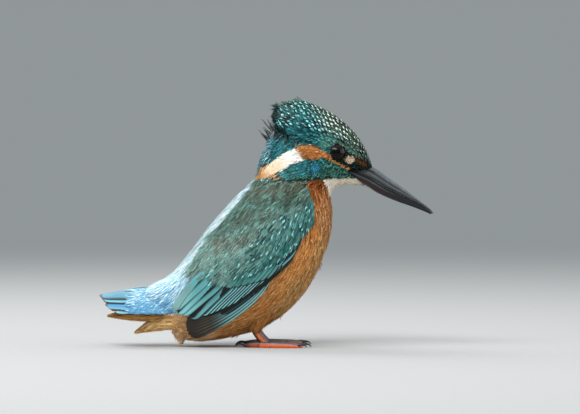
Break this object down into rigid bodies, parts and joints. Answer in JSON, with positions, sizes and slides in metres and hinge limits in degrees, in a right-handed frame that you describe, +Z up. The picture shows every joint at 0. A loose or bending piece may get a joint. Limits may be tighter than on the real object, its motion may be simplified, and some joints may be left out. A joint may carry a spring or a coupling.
{
  "type": "kingfisher",
  "caption": "Life-size common kingfisher standing with closed wings, half-raised crest and a long dagger bill pointing forward and down",
  "frame": {"origin": "on the floor, under the middle of the whole: midway between the bill's tip and the tail's tip, on the middle plane", "axes": "+X towards the bill, +Y the bird's left, +Z up"},
  "size_m": [0.1564, 0.0488, 0.1146],
  "materials": {
    "plumage_blue": "matte barbed plumage with a blue-green sheen",
    "plumage_orange": "matte plumage",
    "plumage_cyan": "silky plumage",
    "feather_dark": "satin flight feathers",
    "bill": "smooth horn",
    "eye": "wet gloss",
    "foot": "fine scales",
    "claw": "smooth horn"
  },
  "bodies": {
    "root": {"eye_right": "eye", "eye_left": "eye", "bill_upper": "bill", "bill_lower": "bill", "head": "plumage_blue", "neck": "plumage_orange", "trunk": "plumage_orange", "rump": "plumage_cyan", "tail": "plumage_cyan", "undertail_coverts_long": "plumage_orange", "undertail_coverts": "plumage_orange", "vent_tuft": "plumage_orange", "wing_right": "plumage_blue", "primaries_right": "feather_dark", "thigh_right": "plumage_orange", "tarsus_right": "foot", "toe_middle_right": "foot", "claw_middle_right": "claw", "toe_outer_right": "foot", "claw_outer_right": "claw", "toe_inner_right": "foot", "claw_inner_right": "claw", "toe_hallux_right": "foot", "claw_hallux_right": "claw", "wing_left": "plumage_blue", "primaries_left": "feather_dark", "thigh_left": "plumage_orange", "tarsus_left": "foot", "toe_middle_left": "foot", "claw_middle_left": "claw", "toe_outer_left": "foot", "claw_outer_left": "claw", "toe_inner_left": "foot", "claw_inner_left": "claw", "toe_hallux_left": "foot", "claw_hallux_left": "claw"}
  },
  "joints": []
}
